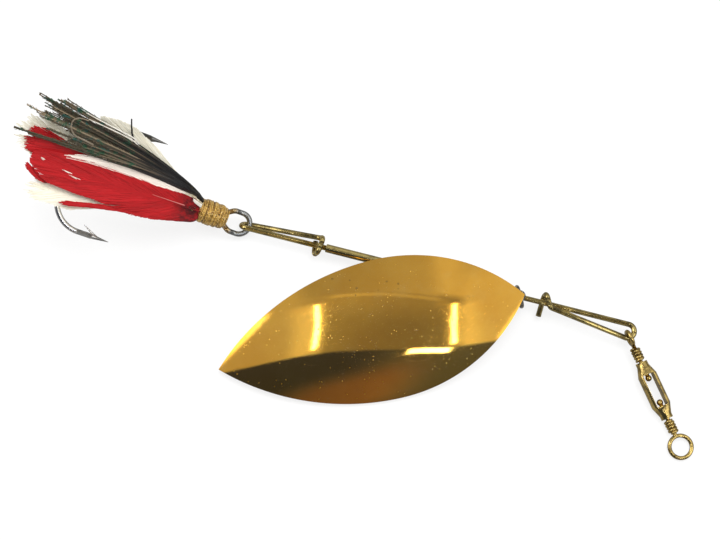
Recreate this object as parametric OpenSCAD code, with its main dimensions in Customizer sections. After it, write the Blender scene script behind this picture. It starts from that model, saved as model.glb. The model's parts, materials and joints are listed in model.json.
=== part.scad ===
/* [Shaft wire] */
// Diameter of the shaft wire
wire_d = 1.2; // [0.9:0.05:1.5]
// From the hanger ring back to the tip of the rear snap
rear_reach = 64.7; // [58:0.1:75]
// From the hanger ring forward to the tip of the front snap
front_reach = 26.6; // [22:0.1:34]
// Spread of the legs where the front snap turns
front_spread = 3.4; // [3.3:0.1:5]
// Spread of the legs where the rear snap turns
rear_spread = 2.9; // [2.8:0.1:3.6]
// Length of the rear snap from its tip to its closing hook
rear_snap_len = 18.2; // [14:0.1:20]

/* [Bearing] */
// Outside diameter of the bearing sleeve
sleeve_d = 1.9; // [1.7:0.05:2.2]
// Diameter of the bearing bead
bead_d = 3.8; // [3:0.1:4.4]
// Running play around the wire, on the radius
play = 0.05; // [0.03:0.01:0.1]

/* [Blade] */
// Length from tip to tip
blade_len = 70; // [60:0.5:78]
// Greatest width
blade_w = 31.4; // [24:0.2:35]
// Sheet thickness
blade_t = 0.8; // [0.5:0.05:1.2]
// Share of the length ahead of the widest place
front_share = 0.445; // [0.4:0.005:0.5]
// Radius of the cup across the blade
cup_r = 30; // [24:0.5:60]
// Radius of the bow along the blade
bow_r = 190; // [150:5:400]
// Heading of the lying blade off the shaft line
blade_yaw = 28; // [10:1:32]
// Lean of the lying blade towards its lower edge
blade_lean = 8; // [2:0.5:9]
// Fall of the lying blade towards its rear tip
blade_fall = 2.8; // [0:0.2:3]

/* [Hanger] */
// Outside diameter of the hanger ring
ring_d = 5.4; // [5:0.1:6]
// Wire of the hanger ring
ring_wire = 0.95; // [0.7:0.05:1.1]
// Ring setback from the front tip
ring_set = 1; // [1:0.1:2.5]

/* [Swivel] */
// Wire of the swivel eyes
eye_wire = 0.95; // [0.7:0.05:1]
// Centreline radius of the eye on the front snap
link_r = 1.55; // [1.4:0.05:1.6]
// Centreline radius of the line eye
line_r = 2.45; // [2:0.05:3.2]
// Overall length of the cage
cage_len = 13.6; // [10:0.2:15]
// Width across the cage bars
cage_w = 4.3; // [3.6:0.1:4.6]
// Wire of the closing wraps
wrap_wire = 0.7; // [0.5:0.05:0.7]
// Turns in each closing wrap
wrap_turns = 2.5; // [2:0.5:3]
// Heading of the lying swivel off the shaft line
swivel_yaw = -51.5; // [-70:0.5:0]
// Dip of the lying swivel
swivel_dip = 5.1; // [0:0.1:6]

/* [Treble hook] */
// Wire of the hooks
hook_wire = 1.2; // [1:0.05:1.3]
// Centreline radius of the hook eye
hook_eye_r = 2.45; // [2.3:0.05:2.8]
// From the eye centre to the start of the bends
shank_len = 33.9; // [28:0.1:40]
// Gap between shank and point
hook_gap = 13; // [11:0.2:15]
// Length of the straight leg of the lower hook, from bend to point
leg_len = 5; // [4:0.2:7]
// How much shorter and longer the legs of the side hooks are
leg_skew = 2; // [0:0.2:2]
// Rise of the lying shank towards the bends
hook_rise = 22.4; // [20:0.1:28]
// Roll of the lying hook about its shank
hook_roll = 20; // [10:1:22]

/* [Dressing] */
// Diameter of the thread core
core_d = 4.6; // [4:0.1:5.2]
// Length of the thread wrap
core_len = 6.6; // [5.5:0.1:8]
// Diameter of the wrapping thread
thread_d = 0.5; // [0.3:0.05:0.5]
// Pitch of the wrapping thread
thread_pitch = 0.94; // [0.92:0.01:1.2]
// Reach of the longest feather behind the eye
feather_reach = 50; // [42:0.5:58]
// Thickness of a feather as a solid
feather_t = 0.3; // [0.2:0.05:0.4]

/* [Hidden] */
$fn = 64;

step_in = 0.05;
swell = 1.02;
front_turn_r = front_spread / 2 - 0.15;
rear_turn_r = rear_spread / 2 - 0.15;
rear_dir = [0, 0.5, -0.866];
hook_off = 0.9 + wire_d / 2;
closure_x = rear_snap_len - rear_reach;
bend_at = [front_reach - front_turn_r, front_turn_r - front_spread, 0];

ring_r = (ring_d - ring_wire) / 2;
bead_x = -1.75 - bead_d / 2 - ring_wire / 2;
sleeve_front = bead_x - bead_d / 2 + 0.15;
sleeve_rear = closure_x + wire_d / 2 + 1.2;

half_w = blade_w / 2;
front_half = blade_len * front_share;
rear_half = blade_len - front_half;
ring_x = front_half - ring_set;
ring_z = sqrt(pow(bow_r - blade_t, 2) - pow(ring_x, 2)) - bow_r - ring_d / 2 - 0.12;

link_x = front_turn_r + wire_d / 2 + eye_wire / 2 + 0.4 - link_r;
wrap_pitch = wrap_wire + 0.44;
wrap_len = wrap_turns * wrap_pitch + wrap_wire;
link_wrap_x = link_x + link_r + eye_wire / 2 + 0.15;
cage_x = link_wrap_x + wrap_len + 0.15;
cage_end = cage_x + cage_len;
line_wrap_x = cage_end + 0.15;
line_x = line_wrap_x + wrap_len + 0.15 + line_r + eye_wire / 2;
land_in = 0.84 * eye_wire / 2;
collar_len = 0.7 * cage_w;
head_d = 0.33 * cage_w;
wrap_r = eye_wire / 2 + wrap_wire / 2 + 0.04;

hook_angles = [170, 32];
pair_y = hook_wire / 2 + 0.05;
third_z = -hook_wire * 0.93;
bend_x = shank_len + hook_gap / 2;
core_x = -hook_eye_r - 0.9;
root_x = core_x - core_len;
wind_r = core_d / 2 + thread_d / 2 + 0.02;
wind_turns = floor((core_len - 2 * thread_d) / thread_pitch * 4) / 4;
eye_at = [-rear_reach + rear_turn_r + 0.35, 0, 0] + rear_dir * rear_spread / 2
    - hook_eye_r * [cos(hook_rise), 0, -sin(hook_rise)];

function unit(v) = v / norm(v);
function turn(a, b) = acos(max(-1, min(1, a * b)));
function yaw_dip(p, dip, yaw) = let (x = p[0] * cos(dip) + p[2] * sin(dip), z = p[2] * cos(dip) - p[0] * sin(dip))
    [x * cos(yaw) - p[1] * sin(yaw), x * sin(yaw) + p[1] * cos(yaw), z];
function flat(lists) = [for (l = lists) for (p = l) p];
origin_at = bend_at + yaw_dip([line_x, 0, 0], swivel_dip, swivel_yaw);

module on_shaft() {
    translate(-origin_at)
        children();
}

module on_blade() {
    on_shaft()
        rotate([blade_lean, -blade_fall, blade_yaw])
            translate([-ring_x, 0, -ring_z])
                children();
}

module on_swivel() {
    on_shaft()
        translate(bend_at)
            rotate([0, swivel_dip, swivel_yaw])
                children();
}

module on_treble() {
    on_shaft()
        translate(eye_at)
            rotate([hook_roll, hook_rise, 0])
                children();
}

// Round bar between two points, tapering from d1 to d2
module taper(a, b, d1, d2) {
    v = b - a;
    translate(a)
        rotate([0, acos(v[2] / norm(v)), atan2(v[1], v[0])])
            cylinder(d1 = d1, d2 = d2, h = norm(v));
}

module rod(a, b, d) {
    taper(a, b, d, d);
}

// Round bend at corner p, from direction u to direction v
module bend(p, u, v, r, d) {
    a = turn(u, v);
    z = unit(cross(u, v));
    y = cross(z, u);
    c = p - r * tan(a / 2) * u + r * y;
    multmatrix([
        [-y[0], u[0], z[0], c[0]],
        [-y[1], u[1], z[1], c[1]],
        [-y[2], u[2], z[2], c[2]],
        [0, 0, 0, 1]])
        rotate_extrude(angle = a)
            translate([r, 0])
                circle(d = d);
}

// One wire through corner points p, bent at radius r[i] at each corner
module bent_wire(p, r, d) {
    n = len(p);
    u = [for (i = [0:n - 2]) unit(p[i + 1] - p[i])];
    t = [for (i = [0:n - 1]) i == 0 || i == n - 1 ? 0 : r[i] * tan(turn(u[i - 1], u[i]) / 2) - step_in];
    for (i = [0:n - 2])
        rod(p[i] + t[i] * u[i], p[i + 1] - t[i + 1] * u[i], d);
    for (i = [1:n - 2])
        bend(p[i], u[i - 1], u[i], r[i], d * swell);
}

// Closed skin over rings of equal count, with capped ends
module skin(rings) {
    n = len(rings);
    m = len(rings[0]);
    sides = flat([for (i = [0:n - 2]) flat([for (j = [0:m - 1])
        let (k = (j + 1) % m, a = i * m, b = a + m) [[a + j, b + k, a + k], [a + j, b + j, b + k]]])]);
    e = (n - 1) * m;
    caps = flat([for (j = [0:m / 2 - 2]) let (k = m - 1 - j)
        [[j, j + 1, k], [j + 1, k - 1, k], [e + j, e + k, e + j + 1], [e + j + 1, e + k, e + k - 1]]]);
    polyhedron(flat(rings), concat(sides, caps));
}

// Rings of an open helix about +X, with straight run-outs one thread long
function helix_point(a, r, pitch) = [a / 360 * pitch, r * cos(a), r * sin(a)];
function helix_rings(r, pitch, turns, d) =
    let (n = round(turns * 24), s = pitch / 360, w = PI / 180 * r)
    [for (i = [-1:n + 1])
        let (k = max(0, min(n, i)), a = k * 360 * turns / n,
            t = unit([s, -w * sin(a), w * cos(a)]), q = [0, cos(a), sin(a)], b = cross(t, q),
            c = helix_point(a, r, pitch) + (i - k) * d * t)
        [for (j = [0:5]) c + d / 2 * (q * cos(60 * j) + b * sin(60 * j))]];
function self_gap(r, pitch, turns, d) =
    let (p = [for (a = [0:15:360 * turns]) helix_point(a, r, pitch)])
    min([for (i = [0:len(p) - 1]) for (j = [i + 12:1:len(p) - 1]) norm(p[i] - p[j])]) - d;

echo(least_gap_thread = self_gap(wind_r, thread_pitch, wind_turns, thread_d));
echo(least_gap_wrap = self_gap(wrap_r, wrap_pitch, wrap_turns, wrap_wire));

// Height at x, y of the bed that the dressing lies on: it climbs out of the wrap and over the hook bends
dress_len = feather_reach + root_x;
layer_h = feather_t + 0.06;
function bed(x, y) = 0.8 * hook_wire + 0.1 * (root_x - x) + 0.02 * dress_len * sin(180 * (root_x - x) / dress_len)
    + 1.2 * y * y / feather_reach;
function between(a, b, s) = a + (b - a) * s;

// Feather vane on one layer of the bed, from root_y at the wrap to the tip, w at its widest
function vane_width(s) = pow(sin(180 * pow(0.04 + 0.93 * s, 0.8)), 0.6);
module vane(root_y, tip, w, layer) {
    n = 14;
    rows = [-1, -0.5, 0, 0.5, 1];
    rings = [for (i = [0:n])
        let (s = i / n, x = between(root_x - 0.1, tip[0], s), y = between(root_y, tip[1], s),
            h = 0.25 + w * vane_width(s) / 2, z = layer * layer_h)
        concat(
            [for (t = rows) [x, y + t * h, z + bed(x, y + t * h) + feather_t / 2]],
            [for (t = rows) [x, y - t * h, z + bed(x, y - t * h) - feather_t / 2]])];
    skin(rings);
}

// Slender strand tapering from root_y at the wrap to its tip, at height z over the bed
module strand(root_y, tip, d, z) {
    n = 10;
    rings = [for (i = [0:n])
        let (s = i / n, x = between(root_x - 0.1, tip[0], s), y = between(root_y, tip[1], s),
            p = [x, y, z + bed(x, y)], h = d * (1 - 0.75 * s) / 2)
        [p + [0, h, h], p + [0, -h, h], p + [0, -h, -h], p + [0, h, -h]]];
    skin(rings);
}

module shaft_wire() {
    h = hook_off;
    x = closure_x;
    rear = [[x - 1, h - 0.2, -h], [x - 0.6, -h - 0.3, -h + 0.1], [x + 0.4, -h - 0.2, h - 0.05],
        [x + 0.7, h + 0.3, h], [x - 0.2, h + 0.6, -0.6],
        [-rear_reach, 0, 0] + rear_dir * rear_spread, [-rear_reach, 0, 0]];
    front = [[front_reach, 0, 0], [front_reach, -front_spread, 0], [7.2, 0.5 - h, h], [5.7, h + 0.3, h],
        [5.4, h + 0.3, -h], [5.2, -h - 1.4, -h]];
    radii = [0, 1.1, 1.1, 1.1, 1.1, rear_turn_r, rear_turn_r, front_turn_r, front_turn_r, 1, 1.1, 1.1, 0];
    color("darkgoldenrod")
        on_shaft()
            bent_wire(concat(rear, front), radii, wire_d);
}

module bearing_sleeve() {
    color("peru")
        on_shaft()
            translate([sleeve_rear, 0, 0])
                rotate([0, 90, 0])
                    difference() {
                        cylinder(d = sleeve_d, h = sleeve_front - sleeve_rear - 0.3);
                        translate([0, 0, -1])
                            cylinder(d = wire_d + 2 * play, h = sleeve_front - sleeve_rear + 2);
                    }
}

module bearing_bead() {
    color("goldenrod")
        on_shaft()
            translate([bead_x, 0, 0])
                rotate([0, 90, 0])
                    difference() {
                        intersection() {
                            sphere(d = bead_d);
                            cube([bead_d, bead_d, bead_d - 0.3], center = true);
                        }
                        cylinder(d = wire_d + 2 * play, h = bead_d + 1, center = true);
                    }
}

// Half of the leaf outline: two side arcs over half-length l
module leaf_half(l) {
    r = (l * l + half_w * half_w) / (2 * half_w);
    intersection() {
        translate([0, r - half_w, -20])
            cylinder(r = r, h = 40, $fn = 360);
        translate([0, half_w - r, -20])
            cylinder(r = r, h = 40, $fn = 360);
        translate([0, -half_w - 1, -20])
            cube([l + 1, blade_w + 2, 40]);
    }
}

// Solid bowl whose skin is the sheet face t below the outside
module bowl(t) {
    translate([0, 0, -bow_r])
        rotate([90, 0, 0])
            rotate([0, 0, 70])
                rotate_extrude(angle = 40, $fn = 360)
                    translate([bow_r - cup_r, 0])
                        circle(r = cup_r - t, $fn = 180);
}

module blade() {
    color("gold")
        on_blade()
            difference() {
                intersection() {
                    union() {
                        leaf_half(front_half);
                        mirror([1, 0, 0])
                            leaf_half(rear_half);
                    }
                    bowl(0);
                }
                bowl(blade_t);
            }
}

module ring_solid(extra) {
    translate([ring_x, 0, ring_z])
        rotate([0, 90, 0])
            rotate_extrude()
                translate([ring_r, 0])
                    circle(d = ring_wire + extra);
}

module hanger_ring() {
    color("silver")
        on_blade()
            ring_solid(0);
}

module hanger_solder() {
    h = ring_wire + 0.2;
    color("gainsboro")
        on_blade()
            difference() {
                translate([ring_x, 0, ring_z + ring_d / 2 + 0.12])
                    rotate([0, asin(ring_x / (bow_r - blade_t)), 0])
                        translate([0, 0, -h - 0.04])
                            cylinder(d1 = 1.5 * ring_wire, d2 = 2.6 * ring_wire, h = h);
                ring_solid(0.03);
            }
}

module eye_stem(from, to) {
    translate([from, 0, 0])
        rotate([0, 90, 0])
            cylinder(d = eye_wire, h = to - from);
}

module link_eye() {
    head_x = cage_x + collar_len + 0.15 + head_d / 2;
    color("goldenrod")
        on_swivel()
            union() {
                translate([link_x, 0, 0])
                    rotate([90, 0, 0])
                        rotate_extrude()
                            translate([link_r, 0])
                                circle(d = eye_wire);
                eye_stem(link_x + link_r, head_x);
                translate([head_x, 0, 0])
                    sphere(d = head_d);
            }
}

module closing_wrap(x) {
    color("goldenrod")
        on_swivel()
            translate([x + wrap_wire / 2, 0, 0])
                skin(helix_rings(wrap_r, wrap_pitch, wrap_turns, wrap_wire));
}

module link_eye_wrap() {
    closing_wrap(link_wrap_x);
}

module line_eye_wrap() {
    closing_wrap(line_wrap_x);
}

module cage_half_profile() {
    r = cage_w / 2;
    n = 0.63 * r;
    a = 0.42 * r;
    b = 1.5 * r;
    polygon([[0, 0], [n, 0], [n, a], [r, b], [r, cage_len - b], [n, cage_len - a], [n, cage_len], [0, cage_len]]);
}

module swivel_cage() {
    win = cage_len - 2 * collar_len;
    bar = 0.21 * cage_w;
    thick = 0.675 * cage_w;
    color("darkgoldenrod")
        on_swivel()
            translate([cage_x, 0, 0])
                difference() {
                    intersection() {
                        rotate([0, 90, 0])
                            rotate_extrude()
                                cage_half_profile();
                        translate([0, -cage_w, -thick / 2])
                            cube([cage_len, 2 * cage_w, thick]);
                    }
                    translate([collar_len, bar - cage_w / 2, -cage_w])
                        cube([win, cage_w - 2 * bar, 2 * cage_w]);
                    translate([-1, 0, 0])
                        rotate([0, 90, 0])
                            cylinder(d = eye_wire + 2 * play, h = cage_len + 2);
                }
}

module line_eye() {
    head_x = cage_end - collar_len - 0.15 - head_d / 2;
    color("goldenrod")
        on_swivel()
            union() {
                translate([line_x, 0, 0])
                    rotate_extrude()
                        intersection() {
                            translate([line_r, 0])
                                circle(d = eye_wire);
                            translate([line_r - land_in, -eye_wire])
                                square([2 * eye_wire, 2 * eye_wire]);
                        }
                eye_stem(head_x, line_x - line_r);
                translate([head_x, 0, 0])
                    sphere(d = head_d);
            }
}

// Tapered point with the barb cut up towards the shank, at the end p of a leg lying along +X
module hook_point(p, inward) {
    a = p + [1.3 * hook_wire, 0, 0];
    taper(p, p + [3.5 * hook_wire, 0, 0], 0.99 * hook_wire, 0.1);
    taper(a, a + 3.4 * hook_wire * (inward * sin(28) - [cos(28), 0, 0]), 0.6 * hook_wire, 0.1);
}

function out_dir(a) = [0, cos(a), sin(a)];

module double_hook() {
    r = hook_gap / 2 - 0.05;
    e = hook_eye_r;
    a = [0, -pair_y, 0];
    c = [0, pair_y, 0];
    oa = out_dir(hook_angles[0]);
    oc = out_dir(hook_angles[1]);
    tip_a = a + oa * hook_gap + [leg_len - leg_skew - shank_len, 0, 0];
    tip_c = c + oc * hook_gap + [leg_len + leg_skew - shank_len, 0, 0];
    back = [-bend_x, 0, 0];
    neck = [-e - 2.2, 0, 0];
    color("silver")
        on_treble()
            union() {
                bent_wire([tip_a, a + oa * hook_gap + back, a + back, a + neck,
                    [-0.75 * e, -e, 0], [e, -e, 0], [e, e, 0], [-0.75 * e, e, 0],
                    c + neck, c + back, c + oc * hook_gap + back, tip_c],
                    [0, r, r, 2, 2.2, e - 0.08, e - 0.08, 2.2, 2, r, r, 0], hook_wire);
                hook_point(tip_a - [0.05, 0, 0], -oa);
                hook_point(tip_c - [0.05, 0, 0], -oc);
            }
}

module third_hook() {
    r = hook_gap / 2 - 0.05;
    b = [0, 0, third_z];
    ob = [0, 0, -hook_gap];
    tip = b + ob + [leg_len - shank_len, 0, 0];
    color("silver")
        on_treble()
            union() {
                bent_wire([b + [core_x + 0.2, 0, 0], b + [-bend_x, 0, 0], b + ob + [-bend_x, 0, 0], tip],
                    [0, r, r, 0], hook_wire);
                hook_point(tip - [0.05, 0, 0], [0, 0, 1]);
            }
}

module thread_core() {
    color("tan")
        on_treble()
            difference() {
                translate([root_x, 0, 0])
                    rotate([0, 90, 0])
                        cylinder(d = core_d, h = core_len);
                for (side = [-1, 1])
                    bent_wire([[root_x - 1, side * pair_y, 0], [-hook_eye_r - 2.2, side * pair_y, 0],
                        [-0.75 * hook_eye_r, side * hook_eye_r, 0]], [0, 2, 0], hook_wire + 0.06);
                rod([root_x - 1, 0, third_z], [core_x + 1, 0, third_z], hook_wire + 0.06);
            }
}

module thread_winding() {
    start = root_x + (core_len - wind_turns * thread_pitch) / 2;
    color("sandybrown")
        on_treble()
            translate([start, 0, 0])
                skin(helix_rings(wind_r, thread_pitch, wind_turns, thread_d));
}

module red_feather_top() {
    color("firebrick")
        on_treble()
            vane(-0.07 * core_d, feather_reach * [-1, -0.02], 0.15 * feather_reach, 4);
}

module red_feather_side() {
    color("crimson")
        on_treble()
            vane(0.15 * core_d, feather_reach * [-1.03, 0.06], 0.1 * feather_reach, 2);
}

module white_feather_rear() {
    color("ivory")
        on_treble()
            vane(0.05 * core_d, feather_reach * [-1.04, 0.08], 0.16 * feather_reach, 1);
}

module white_feather_lower() {
    color("ivory")
        on_treble()
            vane(-0.17 * core_d, feather_reach * [-0.94, -0.15], 0.12 * feather_reach, 0);
}

module white_feather_upper() {
    color("ivory")
        on_treble()
            vane(0.34 * core_d, feather_reach * [-0.78, 0.25], 0.11 * feather_reach, 3);
}

module herl_fan_outer() {
    d = 0.08 * core_d;
    color("darkolivegreen")
        on_treble()
            for (i = [0:4])
                strand((0.37 - 0.11 * i) * core_d, feather_reach * [-0.92 - 0.044 * i, 0.265 - 0.035 * i], d,
                    4.5 * layer_h + 0.6 * d);
}

module herl_fan_inner() {
    d = 0.08 * core_d;
    color("darkslategray")
        on_treble()
            for (i = [0:3])
                strand((0.3 - 0.11 * i) * core_d, feather_reach * [-0.98 - 0.035 * i, 0.19 - 0.04 * i], d,
                    4.5 * layer_h + 1.8 * d);
}

module pale_quills() {
    d = 0.065 * core_d;
    color("wheat")
        on_treble()
            for (i = [0:1])
                strand((0.3 - 0.15 * i) * core_d, feather_reach * [-0.84 - 0.02 * i, 0.235 - 0.04 * i], d,
                    4.5 * layer_h + 3.4 * d);
}

shaft_wire();
bearing_sleeve();
bearing_bead();
blade();
hanger_ring();
hanger_solder();
link_eye();
link_eye_wrap();
swivel_cage();
line_eye();
line_eye_wrap();
double_hook();
third_hook();
thread_core();
thread_winding();
red_feather_top();
red_feather_side();
white_feather_rear();
white_feather_lower();
white_feather_upper();
herl_fan_outer();
herl_fan_inner();
pale_quills();
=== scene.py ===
import json
import math
import random

import bmesh
import bpy
from mathutils import Euler, Matrix, Vector


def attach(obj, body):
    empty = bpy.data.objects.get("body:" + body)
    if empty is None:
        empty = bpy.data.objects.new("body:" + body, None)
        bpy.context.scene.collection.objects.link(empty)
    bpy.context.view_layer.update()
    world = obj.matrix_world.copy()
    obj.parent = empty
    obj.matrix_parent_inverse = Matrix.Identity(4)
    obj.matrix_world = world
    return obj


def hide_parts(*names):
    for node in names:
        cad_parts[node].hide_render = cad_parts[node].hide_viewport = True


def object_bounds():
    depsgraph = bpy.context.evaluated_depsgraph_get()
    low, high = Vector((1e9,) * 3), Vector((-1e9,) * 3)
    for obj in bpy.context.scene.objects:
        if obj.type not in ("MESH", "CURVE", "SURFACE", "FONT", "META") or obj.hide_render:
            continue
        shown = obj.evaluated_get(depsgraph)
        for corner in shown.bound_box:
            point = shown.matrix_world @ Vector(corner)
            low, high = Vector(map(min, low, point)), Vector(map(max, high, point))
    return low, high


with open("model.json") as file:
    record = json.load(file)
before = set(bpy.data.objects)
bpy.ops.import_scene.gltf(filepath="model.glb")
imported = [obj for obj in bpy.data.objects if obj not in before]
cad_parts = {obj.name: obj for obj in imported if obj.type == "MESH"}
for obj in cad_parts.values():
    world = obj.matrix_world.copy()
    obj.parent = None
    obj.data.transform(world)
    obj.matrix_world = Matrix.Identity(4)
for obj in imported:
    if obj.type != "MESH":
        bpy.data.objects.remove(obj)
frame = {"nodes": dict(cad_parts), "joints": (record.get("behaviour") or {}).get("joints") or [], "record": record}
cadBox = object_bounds()
nodes = frame["nodes"]
joints = {j["name"]: j for j in frame["joints"]}
bodyOf = {n: b for b, names in frame["record"]["behaviour"]["bodies"].items() for n in names}
mm = 0.001


class Sock:  # one output socket, with arithmetic that adds Math nodes
    def __init__(self, tree, socket):
        self.tree = tree
        self.socket = socket

    def math(self, operation, first, second):
        return self.tree.add("ShaderNodeMath", {"operation": operation}, {0: first, 1: second})

    def __add__(self, other):
        return self.math("ADD", self, other)

    def __radd__(self, other):
        return self.math("ADD", other, self)

    def __sub__(self, other):
        return self.math("SUBTRACT", self, other)

    def __rsub__(self, other):
        return self.math("SUBTRACT", other, self)

    def __mul__(self, other):
        return self.math("MULTIPLY", self, other)

    def __rmul__(self, other):
        return self.math("MULTIPLY", other, self)

    def __pow__(self, other):
        return self.math("POWER", self, other)

    def __rpow__(self, other):
        return self.math("POWER", other, self)

    def least(self, other):
        return self.math("MINIMUM", self, other)

    def ramp(self, low, high, start=0.0, end=1.0):  # smooth step from low to high
        values = {"Value": self, "From Min": low, "From Max": high, "To Min": start, "To Max": end}
        return self.tree.add("ShaderNodeMapRange", {"interpolation_type": "SMOOTHSTEP"}, values)


class Tree:  # a node tree of any kind
    def __init__(self, tree):
        self.tree = tree

    def add(self, kind, settings=None, inputs=None, output=0):  # inputs are values or other sockets
        node = self.tree.nodes.new(kind)
        for key, value in (settings or {}).items():
            setattr(node, key, value)
        for key, value in (inputs or {}).items():
            if isinstance(value, Sock):
                self.tree.links.new(value.socket, node.inputs[key])
            else:
                node.inputs[key].default_value = value
        return Sock(self, node.outputs[output]) if len(node.outputs) else node

    def mixed(self, share, first, second):
        return self.add("ShaderNodeMix", {"data_type": "RGBA"}, {0: share, 6: first, 7: second}, 2)

    def place(self, location=(0, 0, 0), turn=(0, 0, 0)):  # object coordinates in a piece's own frame
        spot = self.add("ShaderNodeTexCoord", output="Object")
        return self.add("ShaderNodeMapping", {"vector_type": "TEXTURE"},
                        {"Vector": spot, "Location": location, "Rotation": turn})

    def stretched(self, vector, scale):
        return self.add("ShaderNodeMapping", {}, {"Vector": vector, "Scale": scale})

    def axes(self, vector):  # the three parts of a vector
        node = self.add("ShaderNodeSeparateXYZ", {}, {0: vector}).socket.node
        return [Sock(self, part) for part in node.outputs]

    def grain(self, vector, scale, detail=3.0, rough=0.55):
        return self.add("ShaderNodeTexNoise", {},
                        {"Vector": vector, "Scale": scale, "Detail": detail, "Roughness": rough})

    def specks(self, vector, scale):  # distance to the nearest of many scattered points
        values = {"Vector": vector, "Scale": scale, "Randomness": 1.0}
        return self.add("ShaderNodeTexVoronoi", {}, values, "Distance")

    def bumped(self, height, strength, distance):
        return self.add("ShaderNodeBump", {}, {"Strength": strength, "Distance": distance, "Height": height})

    def fact(self, name):  # a value that a strand's points carry
        return self.add("ShaderNodeAttribute", {"attribute_name": name}, output="Fac")

    def ray(self, kind):
        return self.add("ShaderNodeLightPath", output=kind)


def newFinish(name):
    material = bpy.data.materials.new(name)
    material.use_nodes = True
    material.node_tree.nodes.clear()
    return material, Tree(material.node_tree)


shaderSockets = {"baseColor": "Base Color", "roughness": "Roughness", "metallic": "Metallic",
                 "normal": "Normal", "coat": "Coat Weight", "coatRoughness": "Coat Roughness",
                 "sheen": "Sheen Weight", "sheenRoughness": "Sheen Roughness",
                 "specular": "Specular IOR Level"}


def close(material, t, **values):  # the shader that ends a finish
    inputs = {shaderSockets[key]: value for key, value in values.items()}
    shader = t.add("ShaderNodeBsdfPrincipled", {}, inputs)
    t.add("ShaderNodeOutputMaterial", {}, {"Surface": shader})
    return material


# the treble's own frame, in mm from its place in the rear snap, with the shank along -x
treble = {"rise": 22.4, "roll": 20, "pivotShift": (0.08, 0.08, 0)}
trebleAngles = (math.radians(treble["roll"]), math.radians(treble["rise"]), 0)
trebleTurn = Euler(trebleAngles).to_matrix()
trebleAt = Vector(joints["treble_swing"]["pos_m"]) / mm - trebleTurn @ Vector(treble["pivotShift"])


def onTreble(p):
    return (trebleTurn @ Vector(p) + trebleAt) * mm


def onTrebleTurned(v):
    return trebleTurn @ Vector(v)


def trebleSpot(t):  # where a point of the treble lies in that frame
    return t.place(trebleAt * mm, trebleAngles)


trebleUp = onTrebleTurned((0, 0, 1))

# the swivel's own frame, in mm, with its axis along +x from the front snap to the line eye
swivel = {"dip": 5.1, "yaw": -51.5}
swivelTurn = Euler((0, math.radians(swivel["dip"]), math.radians(swivel["yaw"]))).to_matrix()
swivelAt = Vector(joints["swivel_swing"]["pos_m"]) / mm


def onSwivel(p):
    return (swivelTurn @ Vector(p) + swivelAt) * mm


# finishes: a metal is bright where it is rubbed, patch sets how fine its dull patches are
metals = {
    "agedBrass": {"bright": (0.67, 0.52, 0.19, 1), "dull": (0.21, 0.165, 0.07, 1), "rough": 0.13,
                  "roughDull": 0.28, "patch": 420, "polish": 0.08, "pitted": 0.25},
    "brightBrass": {"bright": (0.76, 0.55, 0.18, 1), "dull": (0.25, 0.178, 0.065, 1), "rough": 0.13,
                    "roughDull": 0.28, "patch": 500, "polish": 0.06, "pitted": 0.3},
    "nickelRing": {"bright": (0.55, 0.53, 0.48, 1), "dull": (0.16, 0.135, 0.1, 1), "rough": 0.22,
                   "roughDull": 0.45, "patch": 420, "polish": 0.04, "pitted": 0.5},
    "softSolder": {"bright": (0.55, 0.54, 0.5, 1), "dull": (0.28, 0.265, 0.24, 1), "rough": 0.35,
                   "roughDull": 0.55, "patch": 500, "polish": 0.08, "pitted": 0.5},
}


def makeMetal(name):
    m = metals[name]
    material, t = newFinish(name)
    spot = t.place()
    cloud = t.grain(spot, m["patch"], 5.0, 0.6)
    fine = t.grain(spot, m["patch"] * 7.0, 3.0, 0.6)
    rubbed = (cloud * 0.7 + fine * 0.3).ramp(0.42 - m["polish"], 0.66 - m["polish"])
    pits = t.grain(spot, m["patch"] * 22.0, 2.0, 0.5).ramp(0.62, 0.74)
    color = t.mixed(rubbed, m["dull"], m["bright"])
    color = t.mixed(pits * m["pitted"], color, [c * 0.35 for c in m["dull"][:3]] + [1])
    roughness = m["roughDull"] + rubbed * (m["rough"] - m["roughDull"]) + pits * 0.12
    bump = t.bumped(fine * 0.5 + pits * 0.5, m["pitted"] * 0.3, 0.00003)
    return close(material, t, baseColor=color, metallic=1.0, roughness=roughness, normal=bump)


goldSheet = {"deep": (0.74, 0.37, 0.04, 1), "light": (0.84, 0.46, 0.062, 1), "haze": (0.78, 0.5, 0.14, 1),
             "spots": (0.16, 0.1, 0.03, 1), "grainTurn": 28, "rough": 0.04}


def makeGoldSheet():
    material, t = newFinish("goldSheet")
    spot = t.place(turn=(0, 0, math.radians(goldSheet["grainTurn"])))
    cloud = t.grain(spot, 55, 4, 0.6)
    lines = t.grain(t.stretched(spot, (90, 2600, 2600)), 1.0, 3, 0.7).ramp(0.52, 0.8)
    dots = t.specks(spot, 420).ramp(0.16, 0.06) * t.grain(spot, 70, 3, 0.6).ramp(0.52, 0.7)
    dust = t.specks(spot, 1100).ramp(0.22, 0.1) * t.grain(spot, 260, 4, 0.7).ramp(0.46, 0.6)
    haze = t.grain(spot, 160, 5, 0.65).ramp(0.5, 0.78)
    color = t.mixed(cloud.ramp(0.3, 0.7), goldSheet["deep"], goldSheet["light"])
    color = t.mixed(haze * 0.3, color, goldSheet["haze"])
    color = t.mixed(dots * 0.75, color, goldSheet["spots"])
    roughness = goldSheet["rough"] + haze * 0.05 + lines * 0.04 + dots * 0.3 + dust * 0.4
    bump = t.bumped(cloud * 0.6 + lines * 0.02 - dots * 0.05, 0.12, 0.0003)
    return close(material, t, baseColor=color, metallic=1.0, roughness=roughness, normal=bump, coat=0.4,
                 coatRoughness=0.45)


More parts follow.
